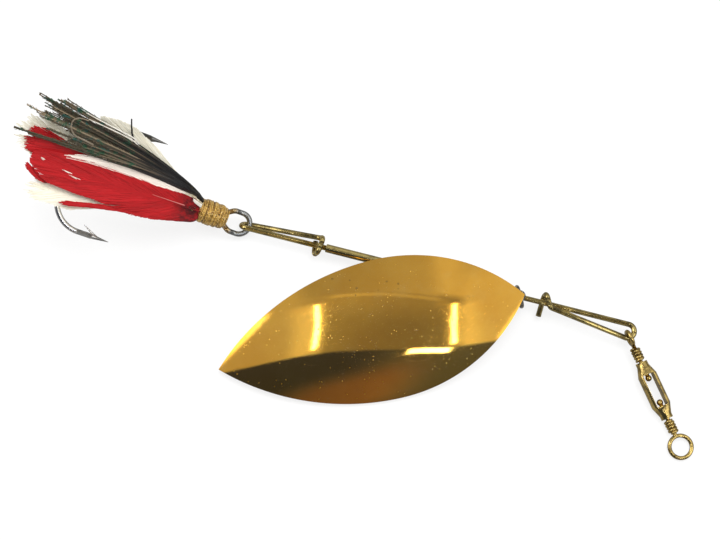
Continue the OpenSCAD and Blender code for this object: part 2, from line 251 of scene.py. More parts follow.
hookSteel = {"wire": (0.8, 0.78, 0.74, 1), "eye": (0.42, 0.43, 0.42, 1), "stain": (0.2, 0.16, 0.1, 1),
             "point": (0.09, 0.083, 0.07, 1), "lacquer": (0.5, 0.32, 0.09, 1)}


def makeHookSteel():
    material, t = newFinish("hookSteel")
    spot = trebleSpot(t)
    along, across, high = t.axes(spot)
    reach = (across * across + high * high) ** 0.5
    cloud = t.grain(spot, 420, 5, 0.65)
    fine = t.grain(spot, 2600, 3, 0.6)
    stain = (cloud * 0.75 + fine * 0.25).ramp(0.52, 0.66)
    lacquer = along.ramp(-0.001, -0.0022) * along.ramp(-0.0125, -0.0116)  # run off the thread wrap
    lacquer = lacquer * (cloud + 0.35).ramp(0.6, 0.85)
    point = reach.ramp(0.0095, 0.0105) * along.ramp(-0.0315, -0.0285)
    eyeGrey = along.ramp(-0.003, -0.0015)
    color = t.mixed(eyeGrey, hookSteel["wire"], hookSteel["eye"])
    color = t.mixed(stain * 0.45, color, hookSteel["stain"])
    color = t.mixed(point * 0.8, color, hookSteel["point"])
    color = t.mixed(lacquer * 0.85, color, hookSteel["lacquer"])
    roughness = 0.2 + stain * 0.2 + point * 0.12 + eyeGrey * 0.12
    bump = t.bumped(fine * 0.6 + cloud * 0.4, 0.2, 0.00005)
    return close(material, t, baseColor=color, metallic=1.0, roughness=roughness, normal=bump)


# the glint colour is a painted highlight and the gap colour is painted shade between the turns
goldThread = {"shade": (0.32, 0.165, 0.03, 1), "gold": (0.86, 0.53, 0.115, 1), "glint": (1.0, 0.78, 0.36, 1),
              "paintedGapShade": (0.15, 0.075, 0.02, 1)}


def makeThread():
    material, t = newFinish("goldThread")
    spot = trebleSpot(t)
    cloud = t.grain(spot, 700, 4, 0.6)
    knots = t.grain(spot, 2400, 3, 0.6)
    share = (cloud * 0.6 + t.fact("tone") * 0.4).ramp(0.3, 0.7)
    color = t.mixed(share, goldThread["shade"], goldThread["gold"])
    # painted glints where the knot noise is high, painted shade in the gaps between turns where it is low
    color = t.mixed(knots.ramp(0.53, 0.66) * 0.75, color, goldThread["glint"])
    color = t.mixed(knots.ramp(0.47, 0.36) * 0.8, color, goldThread["paintedGapShade"])
    return close(material, t, baseColor=color, roughness=0.2 + cloud * 0.2, metallic=0.65, coat=0.6,
                 coatRoughness=0.16, normal=t.bumped(knots, 1.0, 0.00026))


plumage = {
    "redFeather": {"base": (0.31, 0.004, 0.006, 1), "mid": (0.43, 0.006, 0.009, 1),
                   "light": (0.54, 0.018, 0.022, 1), "root": (0.075, 0.005, 0.007, 1),
                   "pale": (0.66, 0.22, 0.2, 1), "streak": 0.3, "rough": 0.42, "sheen": 0.0,
                   "specular": 0.3},
    "whiteFeather": {"base": (0.77, 0.72, 0.57, 1), "mid": (0.86, 0.83, 0.7, 1),
                     "light": (0.92, 0.9, 0.82, 1), "root": (0.5, 0.42, 0.28, 1),
                     "pale": (0.88, 0.78, 0.7, 1), "streak": 0.5, "rough": 0.55, "sheen": 0.1,
                     "specular": 0.4},
}


def makePlumage(name):
    p = plumage[name]
    material, t = newFinish(name)
    spot = trebleSpot(t)
    tone, along, out = t.fact("tone"), t.fact("along"), t.fact("out")
    lines = t.grain(t.stretched(spot, (180, 1700, 1700)), 1.0, 4, 0.6)
    blot = t.grain(spot, 900, 3, 0.6).ramp(0.36, 0.6)
    color = t.mixed((tone * 0.55 + lines * 0.45).ramp(0.25, 0.75), p["base"], p["mid"])
    color = t.mixed((lines * 0.5 + tone * 0.5).ramp(0.62, 0.9) * p["streak"], color, p["light"])
    color = t.mixed(out.ramp(0.8, 1.0) * 0.2, color, p["light"])
    color = t.mixed(along.ramp(0.2, 0.06) * (0.4 + blot * 0.6), color, p["root"])
    color = t.mixed(out.ramp(1.4, 1.6) * 0.85, color, p["pale"])  # out is 2 on ribs and loose barbs
    return close(material, t, baseColor=color, roughness=p["rough"] + lines * 0.15, sheen=p["sheen"],
                 sheenRoughness=0.4, specular=p["specular"], normal=t.bumped(lines, 0.3, 0.00008))


herlTones = {"stem": (0.009, 0.008, 0.008, 1), "tip": (0.07, 0.055, 0.03, 1), "tan": (0.28, 0.21, 0.13, 1),
             "green": (0.012, 0.11, 0.055, 1), "teal": (0.004, 0.085, 0.07, 1)}


def makeHerl():
    material, t = newFinish("herlStrand")
    spot = trebleSpot(t)
    tone, along = t.fact("tone"), t.fact("along")
    green = t.grain(spot, 520, 4, 0.65).ramp(0.52, 0.64) * along.ramp(0.35, 0.6)
    teal = t.grain(spot, 760, 3, 0.5).ramp(0.58, 0.68) * along.ramp(0.6, 0.78)
    color = t.mixed(along.ramp(0.35, 0.95), herlTones["stem"], herlTones["tip"])
    color = t.mixed(tone.ramp(0.62, 0.9) * along.ramp(0.25, 0.6) * 0.9, color, herlTones["tan"])
    color = t.mixed(green * 0.75, color, herlTones["green"])
    color = t.mixed(teal * 0.8, color, herlTones["teal"])
    return close(material, t, baseColor=color, roughness=0.34 + along * 0.15, metallic=green * 0.35, coat=0.2,
                 coatRoughness=0.3)


quillTones = {"shade": (0.2, 0.16, 0.11, 1), "pale": (0.8, 0.76, 0.68, 1), "tip": (0.3, 0.22, 0.14, 1)}


def makeQuill():
    material, t = newFinish("paleQuill")
    cloud = t.grain(trebleSpot(t), 650, 4, 0.6)
    share = (cloud * 0.5 + t.fact("tone") * 0.6).ramp(0.3, 0.85)
    color = t.mixed(share, quillTones["shade"], quillTones["pale"])
    color = t.mixed(t.fact("along").ramp(0.85, 1.0) * 0.5, color, quillTones["tip"])
    return close(material, t, baseColor=color, roughness=0.28 + cloud * 0.1, coat=0.3, coatRoughness=0.2,
                 normal=t.bumped(cloud, 0.2, 0.00005))


finishes = {name: makeMetal(name) for name in metals}
finishes.update({name: makePlumage(name) for name in plumage})
finishes.update({"goldSheet": makeGoldSheet(), "hookSteel": makeHookSteel(), "goldThread": makeThread(),
                 "herlStrand": makeHerl(), "paleQuill": makeQuill()})
print("finishes ready:", len(finishes))


def newObject(name, data, finish=None):
    obj = bpy.data.objects.new(name, data)
    bpy.context.scene.collection.objects.link(obj)
    if finish:
        data.materials.clear()
        data.materials.append(finish)
    return obj


def settle(obj):  # modifiers become a plain mesh
    bpy.context.view_layer.update()
    deps = bpy.context.evaluated_depsgraph_get()
    mesh = bpy.data.meshes.new_from_object(obj.evaluated_get(deps))
    obj.modifiers.clear()
    obj.data = mesh
    mesh.name = obj.name
    return obj


def stand(obj, *names):  # the piece stands for these CAD nodes, on their body
    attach(obj, bodyOf[names[0]])
    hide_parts(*names)
    return obj


skin = {"merge": 0.8e-6, "sharp": 32}  # distance that joins points, in metres, and angle of a sharp edge


def smoothSkin(node, finish):  # merged copy of a CAD node with smooth curved faces
    bm = bmesh.new()
    bm.from_mesh(nodes[node].data)
    bmesh.ops.remove_doubles(bm, verts=bm.verts, dist=skin["merge"])
    mesh = bpy.data.meshes.new(node + "Skin")
    bm.to_mesh(mesh)
    bm.free()
    mesh.shade_smooth()
    mesh.set_sharp_from_angle(angle=math.radians(skin["sharp"]))
    return stand(newObject(node + "Skin", mesh, finish), node)


def makeStrandTree():  # gives every path a body: flat or round, as wide as its points say
    group = bpy.data.node_groups.new("strandBody", "GeometryNodeTree")
    inputs = {"Paths": "Geometry", "Flatness": "Float", "Sides": "Int", "Finish": "Material"}
    for name, kind in inputs.items():
        group.interface.new_socket(name, in_out="INPUT", socket_type="NodeSocket" + kind)
    group.interface.new_socket("Body", in_out="OUTPUT", socket_type="NodeSocketGeometry")
    t = Tree(group)
    given = {o.name: Sock(t, o) for o in t.add("NodeGroupInput").socket.node.outputs}
    wide = t.add("GeometryNodeInputNamedAttribute", {"data_type": "FLOAT"}, {"Name": "wide"})
    lay = t.add("GeometryNodeInputNamedAttribute", {"data_type": "FLOAT_VECTOR"}, {"Name": "lay"})
    curve = t.add("GeometryNodeMeshToCurve", {}, {"Mesh": given["Paths"]})
    curve = t.add("GeometryNodeSetCurveNormal", {"mode": "FREE"}, {"Curve": curve, "Normal": lay})
    ring = t.add("GeometryNodeCurvePrimitiveCircle", {}, {"Resolution": given["Sides"], "Radius": 0.5})
    squeeze = t.add("ShaderNodeCombineXYZ", {}, {0: given["Flatness"], 1: 1.0, 2: 1.0})
    ring = t.add("GeometryNodeTransform", {}, {"Geometry": ring, "Scale": squeeze})
    body = t.add("GeometryNodeCurveToMesh", {},
                 {"Curve": curve, "Profile Curve": ring, "Scale": wide, "Fill Caps": True})
    body = t.add("GeometryNodeSetShadeSmooth", {}, {"Geometry": body})
    body = t.add("GeometryNodeRealizeInstances", {}, {"Geometry": body})
    body = t.add("GeometryNodeSetMaterial", {}, {"Geometry": body, "Material": given["Finish"]})
    t.add("NodeGroupOutput", {}, {0: body})
    return group


strandTree = makeStrandTree()
strandFacts = ("tone", "along", "out")


def strandPiece(name, paths, finish, flatness, sides=6):
    # a path is a list of (point in metres, width in mm, lay normal, tone, along, out)
    points = [point for path in paths for point in path]
    edges = []
    start = 0
    for path in paths:
        edges += [(i, i + 1) for i in range(start, start + len(path) - 1)]
        start += len(path)
    mesh = bpy.data.meshes.new(name)
    mesh.from_pydata([p[0] for p in points], edges, [])
    mesh.attributes.new("wide", "FLOAT", "POINT").data.foreach_set("value", [p[1] * mm for p in points])
    lays = [c for p in points for c in p[2]]
    mesh.attributes.new("lay", "FLOAT_VECTOR", "POINT").data.foreach_set("vector", lays)
    for index, key in enumerate(strandFacts, 3):
        mesh.attributes.new(key, "FLOAT", "POINT").data.foreach_set("value", [p[index] for p in points])
    obj = newObject(name, mesh)
    body = obj.modifiers.new("body", "NODES")
    body.node_group = strandTree
    ids = {s.name: s.identifier for s in strandTree.interface.items_tree}
    body[ids["Flatness"]] = flatness
    body[ids["Sides"]] = sides
    body[ids["Finish"]] = finishes[finish]
    settle(obj)
    for key in ("wide", "lay"):
        if key in obj.data.attributes:
            obj.data.attributes.remove(obj.data.attributes[key])
    return obj


def tableAt(table, s):  # straight-line reading of a table of (share, value)
    for (a, u), (b, v) in zip(table, table[1:]):
        if s <= b:
            return u + (v - u) * (s - a) / (b - a)
    return table[-1][1]


def anyAngle(rng):  # somewhere in a full turn
    return rng.uniform(0, 6.28)


# blade: cupped leaf of polished sheet, with a rounded rim
blade = {"length": 70, "width": 31.4, "sheet": 0.8, "frontShare": 0.445, "cup": 30, "bow": 190,
         "yaw": 28, "lean": 8, "fall": 2.8, "ringSet": 1.0, "ringSize": 5.4, "ringGap": 0.12, "rim": 0.2,
         "rimSteps": 3, "rimAngle": 50, "columns": 150, "rows": 56,
         "rearCut": 0.0015, "frontCut": 0.002}  # the cuts blunt both tips
bladeAngles = (math.radians(blade["lean"]), math.radians(-blade["fall"]), math.radians(blade["yaw"]))
bladeTurn = Euler(bladeAngles).to_matrix()
ringAt = Vector(joints["blade_flare"]["pos_m"]) / mm
frontHalf = blade["length"] * blade["frontShare"]
rearHalf = blade["length"] - frontHalf
ringX = frontHalf - blade["ringSet"]
ringZ = (math.sqrt((blade["bow"] - blade["sheet"]) ** 2 - ringX ** 2) - blade["bow"] - blade["ringSize"] / 2
         - blade["ringGap"])


def leafHalf(x):
    half, reach = blade["width"] / 2, frontHalf if x > 0 else rearHalf
    r = (reach * reach + half * half) / (2 * half)
    return math.sqrt(max(0, r * r - x * x)) - (r - half)


def cupped(x, y, drop):
    small = blade["cup"] - drop
    far = blade["bow"] - blade["cup"] + math.sqrt(small * small - y * y)
    p = Vector((x, y, math.sqrt(far * far - x * x) - blade["bow"]))
    return (bladeTurn @ (p - Vector((ringX, 0, ringZ))) + ringAt) * mm


def makeBlade():
    columns, rows = blade["columns"], blade["rows"]
    rear, front = -rearHalf * (1 - blade["rearCut"]), frontHalf * (1 - blade["frontCut"])
    bm = bmesh.new()
    grids = []
    for drop in (0, blade["sheet"]):
        grid = []
        for i in range(columns + 1):
            x = rear + (front - rear) * i / columns
            across = [leafHalf(x) * (2 * j / rows - 1) for j in range(rows + 1)]
            grid.append([bm.verts.new(cupped(x, y, drop)) for y in across])
        grids.append(grid)
    top, low = grids
    for i in range(columns):
        for j in range(rows):
            bm.faces.new((top[i][j], top[i + 1][j], top[i + 1][j + 1], top[i][j + 1]))
            bm.faces.new((low[i][j], low[i][j + 1], low[i + 1][j + 1], low[i + 1][j]))
        bm.faces.new((top[i][0], low[i][0], low[i + 1][0], top[i + 1][0]))
        bm.faces.new((top[i][rows], top[i + 1][rows], low[i + 1][rows], low[i][rows]))
    for j in range(rows):
        bm.faces.new((top[0][j], top[0][j + 1], low[0][j + 1], low[0][j]))
        bm.faces.new((top[columns][j], low[columns][j], low[columns][j + 1], top[columns][j + 1]))
    bmesh.ops.recalc_face_normals(bm, faces=bm.faces)
    mesh = bpy.data.meshes.new("bladeSkin")
    bm.to_mesh(mesh)
    bm.free()
    mesh.shade_smooth()
    obj = newObject("bladeSkin", mesh, finishes["goldSheet"])
    rim = obj.modifiers.new("rim", "BEVEL")
    rim.width = blade["rim"] * mm
    rim.segments = blade["rimSteps"]
    rim.limit_method = "ANGLE"
    rim.angle_limit = math.radians(blade["rimAngle"])
    rim.harden_normals = True
    return stand(settle(obj), "blade")


makeBlade()
print("blade made")

# metal pieces that keep the shape of their CAD node
metalSkins = {"shaft_wire": "agedBrass", "bearing_sleeve": "agedBrass", "bearing_bead": "brightBrass",
              "hanger_ring": "nickelRing", "hanger_solder": "softSolder", "link_eye": "brightBrass",
              "swivel_cage": "brightBrass", "line_eye": "brightBrass", "double_hook": "hookSteel",
              "third_hook": "hookSteel"}
for node, finish in metalSkins.items():
    smoothSkin(node, finishes[finish])
print("metal skins made")

# closing wraps of the swivel eyes: tight turns of the eye wire, each at (start along the axis, first angle)
wraps = {"wire": 0.72, "pitch": 0.67, "turns": 4.35, "stem": 0.95, "sink": 0.03, "steps": 28,
         "at": {"link_eye_wrap": (3.65, 1.9), "line_eye_wrap": (21.1, 0.6)}}


def wrapPath(start, first):
    rng = random.Random(first)
    radius = wraps["stem"] / 2 + wraps["wire"] / 2 - wraps["sink"]
    count = int(wraps["turns"] * wraps["steps"])
    path = []
    for i in range(count + 1):
        a = 2 * math.pi * i / wraps["steps"]
        end = min(1, 0.55 + 0.45 * min(i, count - i) / 6)  # both ends taper
        wob = 0.03 * math.sin(a * 0.7 + first) + 0.02 * math.sin(a * 2.3 + first)
        x = start + wraps["wire"] / 2 + wraps["pitch"] * i / wraps["steps"] + wob
        out = Vector((0, math.cos(a + first), math.sin(a + first)))
        p = Vector((x, 0, 0)) + out * (radius + wob * 0.6)
        path.append((onSwivel(p), wraps["wire"] * end, swivelTurn @ out, rng.random(), i / count, 0))
    return path


for node, (start, first) in wraps["at"].items():
    stand(strandPiece(node + "Turns", [wrapPath(start, first)], "brightBrass", 1.0, 12), node)
print("swivel wraps made")

# thread wrap: tight lacquered turns over a core, and finishing turns that cross them
# girth is the wrap's radius, as (share of its length, radius)
wrap = {"eyeEnd": -3.3, "rearEnd": -10.0, "thread": 0.34, "turns": 25, "steps": 26, "seed": 4, "crossing": 16,
        "crossingSteps": 33, "coreSteps": 14,
        "girth": [(0.0, 1.9), (0.08, 2.25), (0.22, 2.5), (0.55, 2.62), (0.85, 2.55), (0.95, 2.4),
                  (1.0, 2.15)]}
wrapSpan = wrap["rearEnd"] - wrap["eyeEnd"]


def threadPoint(s, a, lift, shift=0.0):  # a share of the wrap's length, round it by an angle, off its girth
    out = Vector((0, math.cos(a), math.sin(a)))
    p = Vector((wrap["eyeEnd"] + wrapSpan * s + shift, 0, 0)) + out * (tableAt(wrap["girth"], s) + lift)
    return onTreble(p), onTrebleTurned(out)


def tightTurns():
    rng = random.Random(wrap["seed"])
    phase = [anyAngle(rng) for _ in range(4)]
    count = wrap["turns"] * wrap["steps"]
    path = []
    for i in range(count + 1):
        s = i / count
        a = 2 * math.pi * i / wrap["steps"]
        wob = 0.09 * math.sin(a * 0.37 + phase[0]) + 0.06 * math.sin(a * 1.31 + phase[1])
        lift = 0.07 * math.sin(a * 0.83 + phase[2]) + 0.04 * math.sin(a * 2.9 + phase[3])
        p, lay = threadPoint(s, a, lift, wob * math.sin(math.pi * s))
        tone = 0.5 + 0.5 * math.sin(a * 0.55 + phase[1])
        path.append((p, wrap["thread"] * (1 + 0.1 * math.sin(a * 1.7)), lay, tone, s, 0))
    return path


def crossingTurn(turn):
    path = []
    for i in range(wrap["crossingSteps"] + 1):
        share = i / wrap["crossingSteps"]
        s = 0.12 + 0.052 * turn + (0.2 if turn % 2 else -0.14) * (share - 0.3)
        s = min(0.95, max(0.05, s))
        p, lay = threadPoint(s, 2 * math.pi * (share + turn * 0.29), 0.16)
        wide = wrap["thread"] * 0.85 * math.sin(math.pi * (0.08 + 0.84 * share)) ** 0.3
        path.append((p, wide, lay, 0.75, s, 0))
    return path


def threadCore():
    path = []
    for i in range(wrap["coreSteps"] + 1):
        s = i / wrap["coreSteps"]
        p = onTreble((wrap["eyeEnd"] + 0.1 + (wrapSpan - 0.2) * s, 0, 0))
        path.append((p, 2 * tableAt(wrap["girth"], s) - 0.1, trebleUp, 0.3, s, 0))
    return path


threadPaths = [tightTurns()] + [crossingTurn(turn) for turn in range(wrap["crossing"])]
stand(strandPiece("threadCoreBody", [threadCore()], "goldThread", 1.0, 32), "thread_core")
stand(strandPiece("threadTurns", threadPaths, "goldThread", 1.0, 8), "thread_winding")
print("thread wrap made")

# the dressing lies on a bed over the hooks, in the treble's frame, and quill and rib are widths in it
dressing = {"root": -9.95, "reach": 50.0, "wire": 1.2, "base": 0.8, "slope": 0.1, "belly": 0.02,
            "trough": 1.2, "quill": 0.4, "rib": 0.24, "barbSteps": 9, "quillSteps": 15, "ribSteps": 11,
            "wispSteps": 8}


def bed(x, y):
    span = dressing["reach"] + dressing["root"]
    u = dressing["root"] - x
    belly = dressing["belly"] * span * math.sin(math.pi * max(0, min(1, u / span)))
    ramp = dressing["base"] * dressing["wire"] + dressing["slope"] * u
    return ramp + belly + dressing["trough"] * y * y / dressing["reach"]


def bedNormal(x, y, tilt):
    dx = (bed(x + 0.1, y) - bed(x - 0.1, y)) / 0.2
    dy = (bed(x, y + 0.1) - bed(x, y - 0.1)) / 0.2
    return onTrebleTurned(Vector((-dx, -dy + tilt, 1)).normalized())


def parted(x, y, splits):  # barbs pushed aside where the vane has split
    for sx, sy, length, gap in splits:
        d = abs(x - sx) / (length / 2)
        if d < 1:
            side = y - sy
            y += math.copysign(gap * (1 - d * d) * math.exp(-(side / 1.4) ** 2), side if side else 1)
    return y


def onVane(f, s):  # the feather's quill line in plan
    (x0, y0), (x1, y1) = f["root"], f["tip"]
    return x0 + (x1 - x0) * s, y0 + (y1 - y0) * s + f.get("bow", 0) * math.sin(math.pi * min(1, s))


def crownRise(f, s):  # how far the quill stands over the vane's edges
    return f["crown"] * math.sin(math.pi * min(1, 0.06 + 0.9 * s)) ** 0.7


def barbPath(f, rng, side, s0):  # one barb, swept out and back from the quill at share s0
    sweep = f["sweep"] * min(1, 0.28 + 2.4 * max(0, s0)) * rng.uniform(0.94, 1.05)
    past = max(0, s0 + sweep - 1) / sweep  # share of it that would pass the tip
    s1 = min(1, s0 + sweep) + rng.uniform(-1, 1) * f["fray"] * (0.4 + past)
    if s1 < s0 + 0.03:
        return []
    edge = [(s, low if side < 0 else high) for s, low, high in f["edges"]]
    half = tableAt(edge, min(1, s1)) * (1 - past) * rng.uniform(1 - f["fray"], 1 + f["fray"] * 0.5)
    lift, tilt, tone = rng.uniform(-0.05, 0.05), rng.uniform(-0.06, 0.06), rng.random()
    curl, drift = rng.uniform(-1, 1) * f["fray"], anyAngle(rng)
    start = edge[0][1] * max(0, 1 - s0 / 0.14) * rng.random()
    path = []
    for i in range(dressing["barbSteps"] + 1):
        t = i / dressing["barbSteps"]
        s = s0 + (s1 - s0) * t
        reach = start * (1 - t) + half * t ** f.get("spread", 0.85)
        x, y = onVane(f, s)
        y += side * reach + curl * t * t * 1.2 + 0.05 * math.sin(9 * t + drift)
        y = parted(x, y, f.get("splits", ()))
        share = min(1, abs(reach) / f["crownHalf"])
        z = bed(x, y) + f["height"] * min(1, 0.45 + 3.2 * max(0, s))  # low where the thread binds it
        z += crownRise(f, s) * (1 - share * share) + lift * t
        wide = f["width"] * (1 - 0.72 * t ** 3) * (0.6 + 0.4 * min(1, s / 0.25))
        lay = bedNormal(x, y, tilt + side * f["crown"] * share * 0.6)
        path.append((onTreble((x, y, z)), wide, lay, tone, s, t))
    return [path]


def featherQuill(f):
    path = []
    for i in range(dressing["quillSteps"] + 1):
        s = i / dressing["quillSteps"] * 0.9
        x, y = onVane(f, s)
        p = onTreble((x, y, bed(x, y) + f["height"] + crownRise(f, s)))
        path.append((p, dressing["quill"] * (1 - 0.8 * s), trebleUp, 0.4, s, 0))
    return path


def featherRib(f):  # the stretch of quill that shows pale
    start, end, y = f["rib"]
    path = []
    for i in range(dressing["ribSteps"] + 1):
        t = i / dressing["ribSteps"]
        x = start + (end - start) * t
        p = onTreble((x, y, bed(x, y) + f["height"] + f["crown"] * 0.95 + 0.1))
        path.append((p, dressing["rib"] * (1 - 0.7 * t), trebleUp, 0.5, 0.5, 2))
    return path


def vanePaths(f):
    rng = random.Random(f["seed"])
    first = f.get("from", 0.02)
    paths = []
    for side in (-1, 1):
        for k in range(-f.get("fill", 0), f["barbs"]):  # the fill barbs all start at the thread
            s0 = first + (0.96 - first) * (k + rng.uniform(-0.4, 0.4)) / f["barbs"]
            s0 = s0 if k >= 0 else rng.uniform(-0.005, 0.02)
            paths += barbPath(f, rng, side, s0)
    paths.append(featherQuill(f))
    if "rib" in f:
        paths.append(featherRib(f))
    return paths


# feathers: root and tip in plan, edges as (share of length, half width below, half width above)
# sweep is the share of the length by which a barb leans back, fray its unevenness, from where barbs begin
# crown is the quill's height over the edges, rib is (start, end, y) and splits are (x, y, length, gap)
redTop = {"seed": 11, "root": (-9.8, -0.2), "tip": (-49.0, -0.9), "barbs": 430, "fill": 45, "sweep": 0.4,
          "fray": 0.012, "height": 1.5, "crown": 1.0, "crownHalf": 4.6, "width": 0.52, "spread": 0.8,
          "rib": (-14.0, -21.8, 0.1),
          "edges": [(0, 2.3, 1.7), (0.03, 2.4, 1.9), (0.11, 3.4, 2.5), (0.25, 4.75, 3.2), (0.39, 5.3, 3.2),
                    (0.5, 4.9, 3.8), (0.62, 4.5, 3.85), (0.72, 4.5, 3.5), (0.8, 4.25, 3.05),
                    (0.88, 4.1, 2.75), (0.94, 3.2, 2.5), (0.97, 2.3, 2.2), (1, 1.2, 1.5)],
          "splits": [(-40.6, -1.35, 3.2, 0.5), (-38.2, -1.95, 3.0, 0.5), (-46.8, -0.4, 1.3, 0.4)]}
redStrip = {"seed": 17, "root": (-20.5, -4.5), "tip": (-39.4, -7.9), "barbs": 60, "sweep": 0.3, "fray": 0.08,
            "height": 1.3, "crown": 0.1, "crownHalf": 1, "width": 0.4, "bow": 0.35,
            "edges": [(0, 0.3, 0.5), (0.5, 0.4, 0.5), (1, 0.35, 0.5)]}
redTip = {"seed": 16, "root": (-44.2, -5.0), "tip": (-49.5, -2.9), "barbs": 60, "sweep": 0.45, "fray": 0.08,
          "height": 0.95, "crown": 0.1, "crownHalf": 1, "width": 0.36, "bow": -0.35,
          "edges": [(0, 0.3, 0.3), (0.6, 0.6, 0.8), (1, 0.5, 0.6)]}
redSide = {"seed": 12, "root": (-9.8, 0.7), "tip": (-50.6, 3.4), "barbs": 300, "sweep": 0.28, "fray": 0.035,
           "height": 0.95, "crown": 0.5, "crownHalf": 2.6, "width": 0.52, "spread": 0.8,
           "edges": [(0, 0.5, 0.5), (0.2, 1.0, 1.0), (0.5, 1.3, 1.6), (0.76, 2.5, 1.6), (0.87, 3.0, 1.75),
                     (0.95, 3.2, 2.7), (1, 3.2, 2.2)]}
whiteRear = {"seed": 13, "root": (-9.8, 0.2), "tip": (-51.9, 3.4), "barbs": 260, "sweep": 0.26, "fray": 0.06,
             "height": 0.36, "crown": 0.4, "crownHalf": 3.5, "width": 0.46,
             "edges": [(0, 0.5, 0.5), (0.2, 2.2, 2.0), (0.5, 3.6, 3.0), (0.8, 4.2, 4.2), (0.93, 4.0, 5.0),
                       (1, 3.0, 4.5)]}
whiteLower = {"seed": 14, "root": (-9.8, -0.8), "tip": (-45.4, -7.0), "barbs": 260, "sweep": 0.26,
              "fray": 0.08, "height": 0.0, "crown": 0.2, "crownHalf": 3, "width": 0.42, "spread": 0.9,
              "from": 0.2,
              "edges": [(0, 0.3, 0.3), (0.4, 1.0, 2.0), (0.6, 1.9, 2.6), (0.8, 3.3, 3.0), (1, 2.2, 2.6)]}
whiteUpper = {"seed": 15, "root": (-9.8, 1.5), "tip": (-37.8, 11.9), "barbs": 280, "sweep": 0.42,
              "fray": 0.035, "height": 1.08, "crown": 0.3, "crownHalf": 3, "width": 0.46, "from": 0.1,
              "edges": [(0, 0.3, 0.3), (0.35, 1.2, 2.0), (0.55, 2.0, 3.2), (0.75, 2.3, 3.5), (0.9, 2.0, 2.4),
                        (1, 1.2, 0.9)]}

# pale barbs: wisps where the two red feathers meet, and slivers in the splits of the upper one
wisps = {"seed": 21, "count": 140, "height": 1.9, "spread": 0.56, "width": 0.34,
         "line": [(0, -10.4, 1.75), (0.12, -14.5, 2.55), (0.25, -18.8, 3.15), (0.4, -23.7, 3.25),
                  (0.55, -28.9, 3.65), (0.7, -33.3, 3.4), (0.86, -38.2, 2.85), (1, -43.0, 1.85)]}
slivers = [{"seed": 22, "count": 7, "height": 2.16, "spread": 0.2, "width": 0.13,
            "line": [(0, -39.0, -1.5), (1, -42.3, -1.2)]},
           {"seed": 23, "count": 6, "height": 2.2, "spread": 0.12, "width": 0.12,
            "line": [(0, -37.2, -2.05), (1, -40.6, -1.8)]},
           {"seed": 24, "count": 6, "height": 1.92, "spread": 0.07, "width": 0.13,
            "line": [(0, -46.1, -0.55), (1, -47.4, -0.3)]}]


def wispPaths(w):
    rng = random.Random(w["seed"])
    lineX = [(share, x) for share, x, _ in w["line"]]
    lineY = [(share, y) for share, _, y in w["line"]]
    paths = []
    for _ in range(w["count"]):
        s0, s1 = rng.uniform(0, 0.55), rng.uniform(0.5, 1.0)
        if s1 - s0 < 0.25:
            continue
        side, lift, tone = rng.gauss(0, 1), rng.uniform(0, 0.25), rng.random()
        path = []
        for i in range(dressing["wispSteps"] + 1):
            t = i / dressing["wispSteps"]
            s = s0 + (s1 - s0) * t
            x = tableAt(lineX, s)
            y = tableAt(lineY, s) + side * w["spread"] * math.sin(math.pi * (0.1 + 0.8 * s))
            p = onTreble((x, y, bed(x, y) + (w["height"] + lift) * min(1, 0.4 + s * 3)))
            wide = w["width"] * (1 - 0.6 * t * t)
            path.append((p, wide, bedNormal(x, y, side * 0.2), tone, s, 2 if s > 0.12 else 0))
        paths.append(path)
    return paths


redTopPaths = vanePaths(redTop) + vanePaths(redStrip) + vanePaths(redTip)
whiteRearPaths = vanePaths(whiteRear)
for pale in [wisps] + slivers:
    whiteRearPaths += wispPaths(pale)
stand(strandPiece("redFeatherTop", redTopPaths, "redFeather", 0.2), "red_feather_top")
stand(strandPiece("redFeatherSide", vanePaths(redSide), "redFeather", 0.22), "red_feather_side")
stand(strandPiece("whiteFeatherRear", whiteRearPaths, "whiteFeather", 0.22), "white_feather_rear")
stand(strandPiece("whiteFeatherLower", vanePaths(whiteLower), "whiteFeather", 0.22), "white_feather_lower")
stand(strandPiece("whiteFeatherUpper", vanePaths(whiteUpper), "whiteFeather", 0.22), "white_feather_upper")
print("feathers made")

# herl: dark strands with short flue towards their tips, each clump of tips at (x, y, count)
herls = {"height": 2.2, "core": 0.36, "flue": 0.7, "flueCount": 50, "start": -9.7, "points": 21,
         "outer": {"seed": 31, "root": (2.2, 0.4), "bow": 1.5,
                   "tips": [(-52.0, 12.2, 7), (-50.2, 11.3, 7), (-48.3, 12.7, 6), (-47.3, 13.2, 6),
                            (-54.6, 9.6, 2), (-51.5, 9.2, 8), (-50.3, 8.8, 6), (-48.5, 10.3, 8),
                            (-45.5, 9.4, 8), (-48.1, 6.2, 4)]},
         "inner": {"seed": 32, "root": (1.9, 1.2), "bow": 1.6,
                   "tips": [(-54.4, 3.9, 3), (-51.1, 3.7, 2), (-46.0, 4.3, 7), (-42.8, 5.2, 8),
                            (-40.7, 4.4, 7), (-44.0, 7.2, 8), (-41.0, 6.4, 7), (-38.0, 5.3, 7),
                            (-43.0, 8.3, 7)]}}


